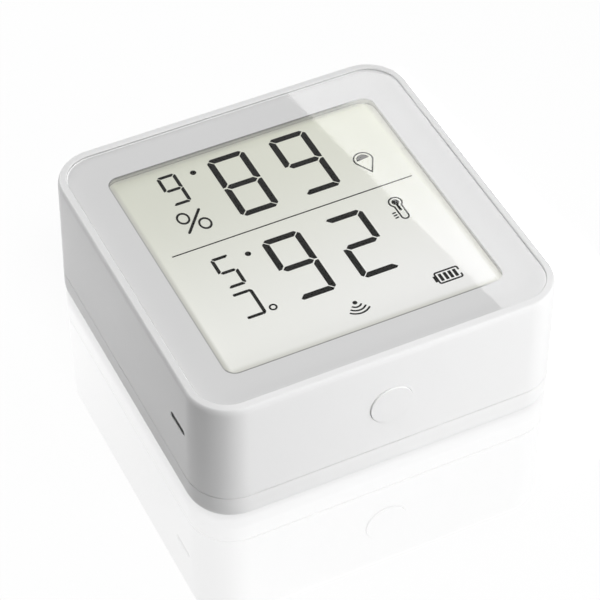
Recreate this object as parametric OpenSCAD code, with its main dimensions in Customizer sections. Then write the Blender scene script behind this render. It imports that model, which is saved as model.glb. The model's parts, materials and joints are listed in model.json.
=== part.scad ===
// Square temperature and humidity sensor with a segment display, a side button
// and a push-on rear cover. It lies on its back: the display faces up, the
// button is in the wall towards -Y and the air slot in the wall towards -X.
// Lengths are in millimetres.

/* [Body] */
// Width of the display end, each way
body_w = 60; // [54:0.5:72]
// Depth from the back face to the rim
body_h = 24; // [21.5:0.5:30]
// Radius of the upright corners at the display end
corner_r = 6.9; // [5.5:0.1:8]
// Growth of each side from the display end to the back
draft = 0.3; // [0:0.05:0.5]
// Wall of the front housing
wall = 1.6; // [1.2:0.1:1.7]
// Width of the rim around the lens
rim_w = 1.5; // [1:0.05:1.8]
// Rounding of the rim's outer edge
rim_r = 0.8; // [0.2:0.1:1.4]

/* [Rear cover] */
// Height of the parting line above the back face
cover_h = 5; // [4:0.25:6]
// Groove left open at the parting line
part_gap = 0.15; // [0.05:0.05:0.3]
// Thickness of the cover's floor
cover_floor = 2; // [1.4:0.1:2.2]
// Rounding of the back edge
back_r = 2; // [1:0.1:3]
// Height of the tongue above the parting line
tongue_h = 1.8; // [1.2:0.1:2.2]
// Thickness of the tongue
tongue_t = 1.1; // [0.8:0.1:1.4]
// Gap between the tongue and the housing wall
tongue_gap = 0.15; // [0.1:0.05:0.3]
// Gap between a friction rib and the housing wall
rib_gap = 0.04; // [0.02:0.01:0.06]
// Width of a friction rib
rib_w = 1.2; // [0.8:0.1:2]
// Distance of the friction ribs from the middle of each side
rib_at = 15; // [8:1:18]

/* [Hanging hole] */
// Diameter of the round entry for a screw's head
key_d = 7.5; // [6:0.1:9]
// Width of the slot for a screw's shank
key_slot_w = 3.8; // [3:0.1:4.5]
// Length of the slot from the entry's centre
key_slot_l = 7; // [5.5:0.5:8]
// Distance of the entry from the middle, towards the button
key_y = 13; // [11:0.5:15]

/* [Lens and display] */
// Thickness of the lens
lens_t = 0.5; // [0.4:0.1:1.4]
// Depth of the lens below the rim
lens_drop = 0.1; // [0.05:0.05:0.3]
// Gap around the lens
lens_gap = 0.1; // [0.05:0.05:0.2]
// Thickness of the adhesive frame behind the lens
tape_t = 0.2; // [0.1:0.05:0.3]
// Width of the lens's border at the two sides of the display window
side_border = 5.55; // [5.3:0.05:8]
// Width of the lens's border at the two ends of the display window
end_border = 5.8; // [5.5:0.05:8]
// Corner radius of the display window
window_r = 2.2; // [1:0.1:3]
// Thickness of the ledge behind the lens
ledge_t = 1.5; // [0.8:0.1:1.8]
// Margin of the front film outside the window
film_edge = 0.35; // [0.2:0.05:0.4]
// Thickness of each film
film_t = 0.2; // [0.1:0.05:0.3]
// Thickness of each pane of the display
glass_t = 0.7; // [0.5:0.1:0.9]
// Bite of the panes behind the ledge at the sides
glass_bite = 0.3; // [0.2:0.05:0.4]
// Width of the contact edge that the front pane has at each end
contact_edge = 2.2; // [2:0.1:2.5]
// Wall of the display holder
frame_t = 0.9; // [0.7:0.1:1]
// Height of the elastomer strips
zebra_h = 3.2; // [2.6:0.1:3.6]
// Width of the elastomer strips
zebra_w = 1.8; // [1.4:0.1:1.8]
// Clearance between pieces that fit together
fit = 0.1; // [0.05:0.01:0.12]

/* [Board] */
// Thickness of the circuit board
board_t = 1.2; // [0.8:0.1:1.6]
// Gap between the board and the housing wall
board_gap = 0.6; // [0.3:0.1:1]
// Width of the wireless module
radio_w = 15; // [12:0.5:15]
// Length of the wireless module
radio_l = 18; // [14:0.5:18]
// Thickness of the wireless module's board
radio_t = 0.8; // [0.6:0.1:1]
// Side of the module's square can
radio_can_w = 12; // [9:0.5:14]
// Height of the module's can
radio_can_h = 1.3; // [1:0.1:1.4]
// Side of the square driver chip
driver_w = 9; // [6:0.5:10]
// Height of the driver chip
driver_h = 1.2; // [0.8:0.1:1.6]

/* [Air slot and sensor] */
// Length of the air slot
vent_l = 4.8; // [3:0.1:5]
// Height of the air slot
vent_h = 1; // [0.5:0.1:1.2]
// Distance of the air slot's middle from the start of the round corner
vent_inset = 2.8; // [2.4:0.1:5]
// Distance of the air slot's middle below the board
vent_drop = 2.4; // [1.6:0.1:3]
// Side of the square sensor chip
sensor_w = 3; // [2:0.1:3.4]
// Height of the sensor chip
sensor_h = 1; // [0.7:0.1:1.4]
// Wall of the foam gasket around the sensor's chamber
gasket_t = 0.7; // [0.5:0.1:0.8]

/* [Button and switch] */
// Diameter of the button
button_d = 7; // [5:0.1:8]
// Gap around the button
button_gap = 0.15; // [0.1:0.01:0.25]
// How far the button stands out of the wall
button_proud = 0.4; // [0.35:0.05:0.8]
// Width of the flange that keeps the button in
flange_w = 0.9; // [0.5:0.1:1.2]
// Thickness of the flange
flange_t = 0.8; // [0.5:0.1:1]
// Diameter of the button's push post
post_d = 3; // [2:0.1:3.4]
// Length of the push post
post_l = 2.2; // [1.8:0.1:2.6]
// Side of the switch body
switch_w = 5.8; // [5:0.1:6.4]
// Depth of the switch body
switch_d = 3.6; // [3:0.1:4.5]
// Diameter of the switch plunger
plunger_d = 3.5; // [2.4:0.1:3.6]
// How far the plunger stands out of the switch
plunger_out = 1.2; // [0.8:0.1:1.6]
// Travel of the button
travel = 0.3; // [0.2:0.05:0.5]

/* [Cells] */
// Room for the parts between the cells' tray and the board, which leaves 10.5 for a cell's diameter
part_room = 2.2; // [1.8:0.1:3]
// Gap from the tray's end wall to the cover's tongue, which leaves 44.5 for a cell's length
bay_gap = 0.6; // [0.3:0.1:2]
// Gap from the cell bay's back to the housing wall
bay_back = 7.85; // [7.2:0.05:8.5]
// Diameter of the contact nub
nub_d = 3.8; // [3:0.1:4]
// Height of the contact nub
nub_h = 0.9; // [0.7:0.1:1.2]
// Play around a cell in its trough
cell_play = 0.25; // [0.15:0.05:0.3]
// Rib of the tray between the two cells
cell_rib = 1.1; // [0.8:0.1:1.4]
// Gap between the cells and the cover's floor
cell_lift = 0.65; // [0.4:0.05:0.8]
// Thickness of the contact sheet
sheet_t = 0.3; // [0.2:0.05:0.4]
// Length of a contact spring between its sheet and the cell
spring_l = 5; // [4.6:0.1:5.2]
// Wire of a contact spring
spring_wire = 0.5; // [0.4:0.05:0.55]
// Number of turns of a contact spring
spring_turns = 3.5; // [2.5:0.5:3.5]

/* [Tray and screws] */
// Wall of the battery tray
tray_t = 1; // [0.8:0.1:1.2]
// Thickness of the tray's plate
plate_t = 1.2; // [1:0.1:1.6]
// Gap between the tray and the housing wall
tray_gap = 0.2; // [0.1:0.05:0.4]
// Diameter of a screw
screw_d = 2; // [1.6:0.1:2.1]
// Diameter of a screw's head
screw_head_d = 3.4; // [2.8:0.1:3.5]
// Height of a screw's head
screw_head_h = 1.2; // [0.9:0.1:1.4]
// Radius of the screw bosses and posts
boss_r = 1.7; // [1.5:0.05:1.9]
// Gap between a screw post and the housing wall
post_gap = 0.3; // [0.2:0.05:0.6]
// Depth of a screw in its boss
screw_bite = 3; // [2:0.1:3.2]
// Distance of the front screws from the middle, towards the button
screw_y = 12; // [9:0.5:14]

/* [Hidden] */
$fn = 64;
eps = 0.5;

// Plan of the body: middle of the corner arcs, and the wall's reach from there
corner_at = body_w / 2 - corner_r;
function side_at(z) = corner_r + draft * (1 - z / body_h);
function inner_at(z) = side_at(z) - wall;
function tongue_at(z) = inner_at(z) - tongue_gap;
cover_top = cover_h - part_gap;
tongue_top = cover_h + tongue_h;
tongue_lead = 0.3;
rim_flat = 0.2;

// Heights of the display stack, from the rim down to the board
lens_top = body_h - lens_drop;
lens_bottom = lens_top - lens_t;
ledge_top = lens_bottom - tape_t;
ledge_bottom = ledge_top - ledge_t;
front_pane_bottom = ledge_bottom - glass_t;
rear_pane_bottom = front_pane_bottom - glass_t;
reflector_bottom = rear_pane_bottom - film_t;
board_top = front_pane_bottom - zebra_h;
board_bottom = board_top - board_t;

// Plan sizes of the display stack
lens_w = body_w - 2 * (rim_w + lens_gap);
lens_r = corner_r - rim_w - lens_gap;
tape_w = lens_w - 2 * lens_gap;
window_w = lens_w - 2 * side_border;
window_d = lens_w - 2 * end_border;
film_w = window_w + 2 * film_edge;
film_d = window_d + 2 * film_edge;
film_r = window_r + film_edge;
opening_w = film_w + 2 * fit;
opening_d = film_d + 2 * fit;
opening_r = film_r + fit;
glass_w = opening_w + 2 * glass_bite;
rear_glass_d = opening_d + 2 * glass_bite;
front_glass_d = rear_glass_d + 2 * contact_edge;
frame_in_w = glass_w + 2 * fit;
frame_in_d = front_glass_d + 2 * fit;
frame_w = frame_in_w + 2 * frame_t;
frame_d = frame_in_d + 2 * frame_t;
zebra_y = (frame_in_d - zebra_w - fit) / 2;
rail_out = zebra_y - zebra_w / 2 - fit;
rail_in = rail_out - frame_t;

// Board, button and switch
board_w = body_w - 2 * (wall + board_gap);
board_r = corner_r - wall - board_gap;
button_z = board_bottom - switch_w / 2;
button_wall = corner_at + side_at(button_z);
button_face = -button_wall - button_proud;
flange_gap = 0.15;
flange_front = -(button_wall - wall) + flange_gap;
flange_back = flange_front + flange_t;
post_end = flange_back + post_l;
plunger_tip = post_end + fit / 2;
switch_front = plunger_tip + plunger_out;
notch_w = button_d + 2 * (flange_w + board_gap);
flange_room = flange_back + travel + board_gap;
switch_room = switch_front + switch_d + board_gap;
cover_sheet_t = 0.25;
plunger_depth = 1.6;

// Cells and their troughs
bay_top = board_bottom - part_room;
cell_d = bay_top - tray_t - cell_play - cell_lift - cover_floor;
cell_z = cover_floor + cell_lift + cell_d / 2;
trough_r = cell_d / 2 + cell_play;
cell_pitch = 2 * trough_r + cell_rib;
bay_l = body_w - 2 * (wall + tongue_gap + tongue_t + bay_gap + tray_t);
bay_end = bay_l / 2;
bay_half = cell_pitch / 2 + trough_r + tray_t;
bay_y = body_w / 2 - wall - bay_back - bay_half;
cell_bared = 1.6;
bay_bottom = cover_floor + cell_lift + cell_bared;

// Contacts: sheet, raised boss under a nub and tail through the board
dimple_h = 1;
dimple_foot = 0.7;
dimple_top = 0.3;
cell_l = bay_l - spring_l - dimple_h - 2 * sheet_t;
sheet_side = 2;
sheet_rise = 0.25;
sheet_clear = 0.44;
sheet_w = 2 * (trough_r - sheet_side);
sheet_low = bay_bottom + sheet_rise;
sheet_top = cell_z + sqrt(trough_r * trough_r - sheet_w * sheet_w / 4) - sheet_clear;
tail_w = 2;
tail_out = 0.6;
tail_top = board_top + tail_out;

// Tray plate and screws
tray_z = tongue_top + screw_head_h + tray_gap;
tray_w = body_w - 2 * (wall + tray_gap);
tray_r = corner_r - wall - tray_gap;
screw_x = corner_at + inner_at(body_h) - boss_r - post_gap;
back_screw_y = bay_y + bay_half + boss_r + tray_gap;
screw_places = [for (y = [-screw_y, back_screw_y], x = [-screw_x, screw_x]) [x, y]];
screw_hole = screw_d + 2 * fit;

// Air slot and the foam chamber of the sensor
vent_y = corner_at - vent_inset;
vent_z = board_bottom - vent_drop;
chamber_edge = 0.2;
chamber_w = vent_l + 2 * chamber_edge;
gasket_w = chamber_w + 2 * gasket_t;
gasket_l = 5;
gasket_x = -(corner_at + inner_at(body_h)) + tray_gap;
sensor_x = gasket_x + gasket_l - gasket_t - sensor_w / 2 - tray_gap;

// Places of the parts under the board, from its edges towards -X and -Y, and for the module +X
radio_inset = 5.3;
radio_front = 3.8;
can_shift = 3;
driver_inset = 15.8;
driver_front = 14.8;
crystal_front = 12.8;
crystal_size = [5, 3.2, 1];
capacitor_size = [3.5, 2.8, 1.9];
capacitor_inset = 7.8;
capacitor_front = 20.8;
capacitor_step = 4.2;
chip_size = [1.6, 0.8, 0.5];
chip_inset = 11.8;
chip_front = 22.8;
chip_step = [3.2, 1.6];
board_edge = -board_w / 2;
radio_at = [-board_edge - radio_inset - radio_w / 2, board_edge + radio_front + radio_l / 2];
driver_at = [board_edge + driver_inset, board_edge + driver_front];
capacitor_at = [board_edge + capacitor_inset, board_edge + capacitor_front];
chip_at = [board_edge + chip_inset, board_edge + chip_front];

// Points of an arc in the plane
function arc(x, y, r, from, to, steps) =
  [for (i = [0:steps]) let (a = from + (to - from) * i / steps) [x + r * cos(a), y + r * sin(a)]];

// Plate with round corners, centred in plan, standing on z = 0
module rounded_plate(w, d, r, h) {
  translate([-w / 2 + r, -d / 2, 0]) cube([w - 2 * r, d, h]);
  translate([-w / 2, -d / 2 + r, 0]) cube([w, d - 2 * r, h]);
  for (x = [-1, 1], y = [-1, 1])
    translate([x * (w / 2 - r), y * (d / 2 - r), 0]) cylinder(r = r, h = h);
}

// Block centred in plan, standing on z = 0
module block(w, d, h) {
  translate([-w / 2, -d / 2, 0]) cube([w, d, h]);
}

// Sweeps a profile around the body: x is the distance out of the corner's middle, y the height
module around_body() {
  for (k = [0:3]) rotate([0, 0, 90 * k]) translate([corner_at, corner_at, 0]) {
    rotate_extrude(angle = 90) children();
    rotate([90, 0, 0]) linear_extrude(2 * corner_at) children();
  }
}

// Bores or pins at the four screws
module at_screws() {
  for (p = screw_places) translate([p[0], p[1], 0]) children();
}

// Room for the button in the edge of a plate of thickness h, as far in as y = end
module button_notch(end, h) {
  translate([-notch_w / 2, -body_w / 2, -eps]) cube([notch_w, body_w / 2 + end, h + 2 * eps]);
}

// Slot with round ends along Y, cut through along X
module round_slot(l, h, depth) {
  translate([0, -(l - h) / 2, -h / 2]) cube([depth, l - h, h]);
  for (y = [-1, 1]) translate([0, y * (l - h) / 2, 0]) rotate([0, 90, 0]) cylinder(d = h, h = depth);
}

module rear_cover() {
  bend = side_at(back_r) - back_r;
  profile = concat(
    [[0, 0]],
    arc(bend, back_r, back_r, -90, 0, 10),
    [[side_at(cover_top), cover_top], [tongue_at(cover_top), cover_top],
      [tongue_at(tongue_top), tongue_top - tongue_lead],
      [tongue_at(tongue_top) - tongue_lead, tongue_top],
      [tongue_at(tongue_top) - tongue_t, tongue_top], [tongue_at(tongue_top) - tongue_t, cover_floor],
      [0, cover_floor]]);
  color("white") {
    difference() {
      union() {
        around_body() polygon(profile);
        block(2 * corner_at, 2 * corner_at, cover_floor);
      }
      translate([0, -key_y, -eps]) cylinder(d = key_d, h = cover_floor + 2 * eps);
      translate([0, -key_y - key_slot_l / 2, -eps]) block(key_slot_w, key_slot_l, cover_floor + 2 * eps);
      translate([0, -key_y - key_slot_l, -eps]) cylinder(d = key_slot_w, h = cover_floor + 2 * eps);
    }
    friction_ribs();
  }
}

// Upright ribs on the tongue that rub on the housing wall, narrower at the top
module friction_ribs() {
  reach = corner_at + inner_at(cover_h) - rib_gap;
  root = 0.2;
  rib_h = tongue_h - 2 * tongue_lead;
  foot = rib_w / 2;
  tip = foot - tongue_lead;
  for (k = [0:3], s = [-1, 1]) rotate([0, 0, 90 * k])
    translate([reach - tongue_gap - root, s * rib_at, cover_top]) rotate([90, 0, 90])
      linear_extrude(root + tongue_gap) polygon([[-foot, 0], [foot, 0], [tip, rib_h], [-tip, rib_h]]);
}

module front_housing() {
  rim_in = corner_r - rim_w;
  rim_round = min(rim_r, rim_w - rim_flat);
  bend = body_h - rim_round;
  profile = concat(
    [[side_at(cover_h), cover_h]],
    arc(side_at(bend) - rim_round, bend, rim_round, 0, 90, 8),
    [[rim_in, body_h], [rim_in, ledge_top], [0, ledge_top], [0, ledge_bottom],
      [inner_at(ledge_bottom), ledge_bottom], [inner_at(cover_h), cover_h]]);
  color("white") difference() {
    union() {
      around_body() polygon(profile);
      translate([0, 0, ledge_bottom]) block(2 * corner_at, 2 * corner_at, ledge_t);
      translate([0, 0, board_top]) at_screws() cylinder(r = boss_r, h = ledge_top - board_top);
    }
    translate([0, 0, ledge_bottom - eps])
      rounded_plate(opening_w, opening_d, opening_r, ledge_t + 2 * eps);
    translate([0, 0, board_top - eps]) at_screws() cylinder(d = screw_hole, h = screw_bite + fit + eps);
    translate([0, -button_wall - eps, button_z]) rotate([-90, 0, 0])
      cylinder(d = button_d + 2 * button_gap, h = wall + 2 * eps);
    translate([-corner_at - side_at(vent_z) - eps, -vent_y, vent_z])
      round_slot(vent_l, vent_h, wall + 2 * eps);
  }
}

module lens() {
  color([0.92, 0.94, 0.94, 0.4]) translate([0, 0, lens_bottom])
    rounded_plate(lens_w, lens_w, lens_r, lens_t);
}

module lens_tape() {
  color("gainsboro") translate([0, 0, ledge_top]) difference() {
    rounded_plate(tape_w, tape_w, lens_r - lens_gap, tape_t);
    translate([0, 0, -eps]) rounded_plate(window_w, window_d, window_r, tape_t + 2 * eps);
  }
}

module front_polarizer() {
  color([0.85, 0.86, 0.82]) translate([0, 0, ledge_bottom]) rounded_plate(film_w, film_d, film_r, film_t);
}

module lcd_front_glass() {
  color("lightcyan") translate([0, 0, front_pane_bottom]) block(glass_w, front_glass_d, glass_t);
}

module lcd_rear_glass() {
  color("paleturquoise") translate([0, 0, rear_pane_bottom]) block(glass_w, rear_glass_d, glass_t);
}

module reflector() {
  color("lightgray") translate([0, 0, reflector_bottom]) block(film_w, film_d, film_t);
}

// Ring around the display panes, with a rail that parts each strip from the middle
module lcd_frame() {
  frame_h = ledge_bottom - board_top;
  color("ivory") {
    translate([0, 0, board_top]) difference() {
      block(frame_w, frame_d, frame_h);
      translate([0, 0, -eps]) block(frame_in_w, frame_in_d, frame_h + 2 * eps);
      translate([0, 0, -eps]) at_screws() cylinder(r = boss_r + fit / 2, h = frame_h + 2 * eps);
    }
    for (s = [-1, 1]) translate([0, s * (rail_in + rail_out) / 2, board_top])
      block(frame_in_w + frame_t, frame_t, reflector_bottom - board_top);
  }
}

module zebra_strips() {
  color("dimgray") for (s = [-1, 1]) translate([0, s * zebra_y, board_top])
    block(glass_w - 2 * fit, zebra_w, zebra_h);
}

module main_board() {
  color("seagreen") translate([0, 0, board_bottom]) difference() {
    rounded_plate(board_w, board_w, board_r, board_t);
    button_notch(flange_room, board_t);
    translate([0, 0, -eps]) at_screws() cylinder(d = screw_hole, h = board_t + 2 * eps);
    for (s = [-1, 1]) translate([-bay_end + sheet_t / 2, bay_y + s * cell_pitch / 2, -eps])
      block(sheet_t + 2 * fit, tail_w + 2 * fit, board_t + 2 * eps);
  }
}

// A part that hangs under the board
module under_board(at, size) {
  translate([at[0], at[1], board_bottom - size[2]]) block(size[0], size[1], size[2]);
}

module radio_board() {
  color("darkgreen") under_board(radio_at, [radio_w, radio_l, radio_t]);
}

module radio_shield() {
  color("silver") translate([0, can_shift, -radio_t])
    under_board(radio_at, [radio_can_w, radio_can_w, radio_can_h]);
}

module driver_chip() {
  color("black") under_board(driver_at, [driver_w, driver_w, driver_h]);
}

module crystal() {
  color("silver") under_board([0, board_edge + crystal_front], crystal_size);
}

module capacitors() {
  color("darkorange") for (i = [0:2]) under_board(capacitor_at - [0, i * capacitor_step], capacitor_size);
}

module chip_parts() {
  color("saddlebrown") for (i = [0:4], j = [0:1])
    under_board(chip_at + [i * chip_step[0], j * chip_step[1]], chip_size);
}

module humidity_sensor() {
  inlet_d = 1.2;
  inlet_h = 0.3;
  color("dimgray") difference() {
    under_board([sensor_x, -vent_y], [sensor_w, sensor_w, sensor_h]);
    translate([sensor_x, -vent_y, board_bottom - sensor_h - eps]) cylinder(d = inlet_d, h = inlet_h + eps);
  }
}

// Foam block between the tray and the board, open to the air slot and to the sensor
module sensor_gasket() {
  floor_z = tray_z + plate_t;
  color("slategray") translate([gasket_x, -vent_y, floor_z]) difference() {
    translate([0, -gasket_w / 2, 0]) cube([gasket_l, gasket_w, board_bottom - floor_z]);
    translate([-eps, -chamber_w / 2, gasket_t])
      cube([gasket_l - gasket_t + eps, chamber_w, board_bottom - floor_z]);
  }
}

module switch_body() {
  color("black") difference() {
    translate([-switch_w / 2, switch_front, button_z - switch_w / 2]) cube([switch_w, switch_d, switch_w]);
    translate([0, switch_front - eps, button_z]) rotate([-90, 0, 0])
      cylinder(d = plunger_d + 2 * fit, h = plunger_depth + travel + fit + eps);
  }
}

// Sheet over the switch's face, with two feet soldered under the board
module switch_cover() {
  foot_l = 1.2;
  color("silver") {
    difference() {
      translate([-switch_w / 2, switch_front - cover_sheet_t, button_z - switch_w / 2])
        cube([switch_w, cover_sheet_t, switch_w]);
      translate([0, switch_front - cover_sheet_t - eps, button_z]) rotate([-90, 0, 0])
        cylinder(d = plunger_d + 2 * fit, h = cover_sheet_t + 2 * eps);
    }
    for (s = [-1, 1]) {
      translate([s * (switch_w + foot_l) / 2, switch_front + switch_d / 2, board_bottom - cover_sheet_t])
        block(foot_l, switch_d / 2, cover_sheet_t);
      translate([s * (switch_w + cover_sheet_t) / 2, switch_front + (switch_d - cover_sheet_t) / 2,
        button_z - switch_w / 2]) block(cover_sheet_t, switch_d + cover_sheet_t, switch_w);
    }
  }
}

module switch_plunger() {
  color("ivory") translate([0, plunger_tip, button_z]) rotate([-90, 0, 0])
    cylinder(d = plunger_d, h = plunger_out + plunger_depth);
}

// Round cap with a rounded face, a flange behind the wall and a post to the switch
module button_cap() {
  edge_r = 0.35;
  r = button_d / 2;
  neck = flange_front - button_face;
  profile = concat(
    [[0, 0]],
    arc(r - edge_r, edge_r, edge_r, -90, 0, 5),
    [[r, neck], [r + flange_w, neck], [r + flange_w, neck + flange_t],
      [post_d / 2, neck + flange_t], [post_d / 2, neck + flange_t + post_l],
      [0, neck + flange_t + post_l]]);
  color("white") translate([0, button_face, button_z]) rotate([-90, 0, 0])
    rotate_extrude() polygon(profile);
}

// Plate with a block that holds the two troughs, and tubes that press the board on its bosses
module battery_tray() {
  color("whitesmoke") difference() {
    union() {
      translate([0, 0, tray_z]) rounded_plate(tray_w, tray_w, tray_r, plate_t);
      translate([0, bay_y, bay_bottom]) block(bay_l + 2 * tray_t, 2 * bay_half, bay_top - bay_bottom);
      translate([0, 0, tray_z]) at_screws() cylinder(r = boss_r, h = board_bottom - tray_z);
    }
    for (s = [-1, 1]) translate([-bay_end, bay_y + s * cell_pitch / 2, cell_z]) {
      rotate([0, 90, 0]) cylinder(r = trough_r, h = bay_l);
      translate([0, -trough_r, bay_bottom - cell_z - eps])
        cube([bay_l, 2 * trough_r, cell_z - bay_bottom + eps]);
      translate([sheet_t / 2, 0, 0]) block(sheet_t + 2 * fit, tail_w + 2 * fit, bay_top - cell_z + eps);
    }
    translate([bay_end - sheet_t - fit, bay_y - cell_pitch / 2, bay_bottom - eps])
      cube([sheet_t + fit, cell_pitch, sheet_top + fit - bay_bottom + eps]);
    translate([0, 0, tray_z]) button_notch(switch_room, plate_t);
    translate([0, 0, bay_bottom - eps]) at_screws()
      cylinder(d = screw_head_d + 2 * fit, h = tray_z - bay_bottom + eps);
    translate([0, 0, tray_z - eps]) at_screws()
      cylinder(d = screw_hole, h = board_bottom - tray_z + 2 * eps);
  }
}

// Upright contact sheet against the tray's end wall, from y_low to y_high beside the cells
module contact_sheet(x, y_low, y_high) {
  translate([x, bay_y + y_low, sheet_low]) cube([sheet_t, y_high - y_low, sheet_top - sheet_low]);
}

// Raised boss of a sheet that a cell's nub rests on
module dimple(x, y, way) {
  translate([x, bay_y + y, cell_z]) rotate([0, way * 90, 0])
    cylinder(r1 = nub_d / 2 + dimple_foot, r2 = nub_d / 2 - dimple_top, h = dimple_h - fit / 2);
}

// Tail that runs up from a sheet through the tray and the board
module solder_tail(y) {
  translate([-bay_end, bay_y + y - tail_w / 2, sheet_top]) cube([sheet_t, tail_w, tail_top - sheet_top]);
}

module positive_contact() {
  y = cell_pitch / 2;
  color("silver") {
    contact_sheet(-bay_end, y - sheet_w / 2, y + sheet_w / 2);
    dimple(-bay_end + sheet_t, y, 1);
    solder_tail(y);
  }
}

module negative_contact() {
  y = -cell_pitch / 2;
  color("silver") {
    contact_sheet(-bay_end, y - sheet_w / 2, y + sheet_w / 2);
    solder_tail(y);
  }
}

module bridge_contact() {
  y = cell_pitch / 2;
  color("silver") {
    contact_sheet(bay_end - sheet_t, -y - sheet_w / 2, y + sheet_w / 2);
    dimple(bay_end - sheet_t, -y, -1);
  }
}

// Stations of a contact spring: distance from the sheet, angle, radius and slope of the wire
spring_inset = 0.4;
spring_cone = 0.9;
spring_r0 = sheet_w / 2 - spring_inset;
spring_r1 = spring_r0 - spring_cone;
spring_bend = 12;
spring_run = spring_l - fit / 2;
curl_rings = 8;
coil_slope = 86;
bend_slope = 45;
bend_from = 1.6 * spring_wire;
coil_from = 2 * spring_wire;
coil_to = spring_run - coil_from;
function coil(i, n) = let (t = i / n)
  [coil_from + (coil_to - coil_from) * t, spring_bend + 360 * spring_turns * t,
    spring_r0 + (spring_r1 - spring_r0) * t, coil_slope];
function spring_stations(rings) = let (
    n = round(spring_turns * rings),
    last = 360 * spring_turns + 2 * spring_bend)
  concat(
    [[0, 0, spring_r0, 0], [spring_wire, 0, spring_r0, 0],
      [bend_from, spring_bend / 3, spring_r0, bend_slope]],
    [for (i = [0:n]) coil(i, n)],
    [[spring_run - bend_from, last - spring_bend / 3, spring_r1, bend_slope],
      [spring_run - spring_wire, last, spring_r1, 0], [spring_run, last, spring_r1, 0]]);
function spring_point(s) = [s[0], s[2] * cos(s[1]), s[2] * sin(s[1])];
function spring_ring(s) = let (
    out = [0, cos(s[1]), sin(s[1])],
    across = [-sin(s[3]), -sin(s[1]) * cos(s[3]), cos(s[1]) * cos(s[3])])
  [for (k = [0:5]) spring_point(s) + spring_wire / 2 * (cos(60 * k) * out + sin(60 * k) * across)];

// Least gap between turns, measured on points of the wire that lie over half a turn apart
gap_rings = 48;
gap_last = round(spring_turns * gap_rings);
gap_points = [for (i = [0:gap_last]) spring_point(coil(i, gap_last))];
spring_gap = min([for (i = [0:gap_last], k = [gap_rings / 2:gap_last]) if (i + k <= gap_last)
  norm(gap_points[i] - gap_points[i + k])]) - spring_wire;
echo(str("Least gap between the turns of a contact spring: ", spring_gap, " mm"));

// Conical spring along X: one unbroken tube of six sides
module contact_spring() {
  rings = [for (s = spring_stations(curl_rings)) spring_ring(s)];
  n = len(rings);
  function corner(i, k) = 6 * i + k % 6;
  polyhedron(
    points = [for (r = rings, p = r) p],
    faces = concat(
      [for (i = [0:n - 2], k = [0:5], h = [0, 1])
        h == 0 ? [corner(i, k), corner(i + 1, k), corner(i + 1, k + 1)]
               : [corner(i, k), corner(i + 1, k + 1), corner(i, k + 1)]],
      [for (k = [1:4]) [0, k, k + 1]],
      [for (k = [1:4]) [corner(n - 1, 0), corner(n - 1, k + 1), corner(n - 1, k)]]));
}

module contact_springs() {
  color("silver") {
    translate([-bay_end + sheet_t, bay_y - cell_pitch / 2, cell_z]) contact_spring();
    translate([bay_end - sheet_t, bay_y + cell_pitch / 2, cell_z]) rotate([0, 0, 180]) contact_spring();
  }
}

// Cell standing on z = 0 with its nub up
module cell() {
  r = cell_d / 2;
  shoulder = cell_l - nub_h;
  bevel = 0.5;
  rotate_extrude() polygon([[0, 0], [r - bevel, 0], [r, bevel], [r, shoulder - bevel],
    [r - bevel, shoulder], [nub_d / 2, shoulder], [nub_d / 2, cell_l], [0, cell_l]]);
}

module cell_a() {
  color("gray") translate([bay_end - sheet_t - spring_l, bay_y + cell_pitch / 2, cell_z])
    rotate([0, -90, 0]) cell();
}

module cell_b() {
  color("gray") translate([-bay_end + sheet_t + spring_l, bay_y - cell_pitch / 2, cell_z])
    rotate([0, 90, 0]) cell();
}

// Screws through the tray and the board into the housing's bosses
module tray_screws() {
  drive_l = 2;
  drive_w = 0.5;
  drive_d = 0.6;
  color("dimgray") at_screws() difference() {
    union() {
      translate([0, 0, tray_z - screw_head_h]) cylinder(d = screw_head_d, h = screw_head_h);
      translate([0, 0, tray_z - fit]) cylinder(d = screw_d, h = board_top + screw_bite - tray_z + fit);
    }
    for (a = [0, 90]) rotate([0, 0, a]) translate([0, 0, tray_z - screw_head_h - eps])
      block(drive_l, drive_w, drive_d + eps);
  }
}

rear_cover();
front_housing();
lens();
lens_tape();
front_polarizer();
lcd_front_glass();
lcd_rear_glass();
reflector();
lcd_frame();
zebra_strips();
main_board();
radio_board();
radio_shield();
driver_chip();
crystal();
capacitors();
chip_parts();
humidity_sensor();
sensor_gasket();
switch_body();
switch_cover();
switch_plunger();
button_cap();
battery_tray();
positive_contact();
negative_contact();
bridge_contact();
contact_springs();
cell_a();
cell_b();
tray_screws();
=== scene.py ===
import json
import math

import bmesh
import bpy
from mathutils import Matrix, Vector


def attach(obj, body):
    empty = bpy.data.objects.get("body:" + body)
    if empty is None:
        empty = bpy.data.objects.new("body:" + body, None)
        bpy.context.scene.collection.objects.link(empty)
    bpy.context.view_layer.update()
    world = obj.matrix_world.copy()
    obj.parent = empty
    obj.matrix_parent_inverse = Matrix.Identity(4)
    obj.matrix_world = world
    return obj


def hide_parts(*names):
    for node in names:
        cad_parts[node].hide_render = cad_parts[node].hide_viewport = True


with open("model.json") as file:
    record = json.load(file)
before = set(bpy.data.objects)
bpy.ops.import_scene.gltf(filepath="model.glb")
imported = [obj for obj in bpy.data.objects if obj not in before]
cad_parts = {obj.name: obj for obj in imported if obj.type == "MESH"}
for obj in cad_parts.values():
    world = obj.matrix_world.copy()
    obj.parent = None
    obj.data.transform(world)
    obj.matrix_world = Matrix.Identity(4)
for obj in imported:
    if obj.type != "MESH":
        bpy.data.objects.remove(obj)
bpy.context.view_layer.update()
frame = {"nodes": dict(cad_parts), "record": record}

scene = bpy.context.scene
scene.view_settings.view_transform = "Standard"

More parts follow.
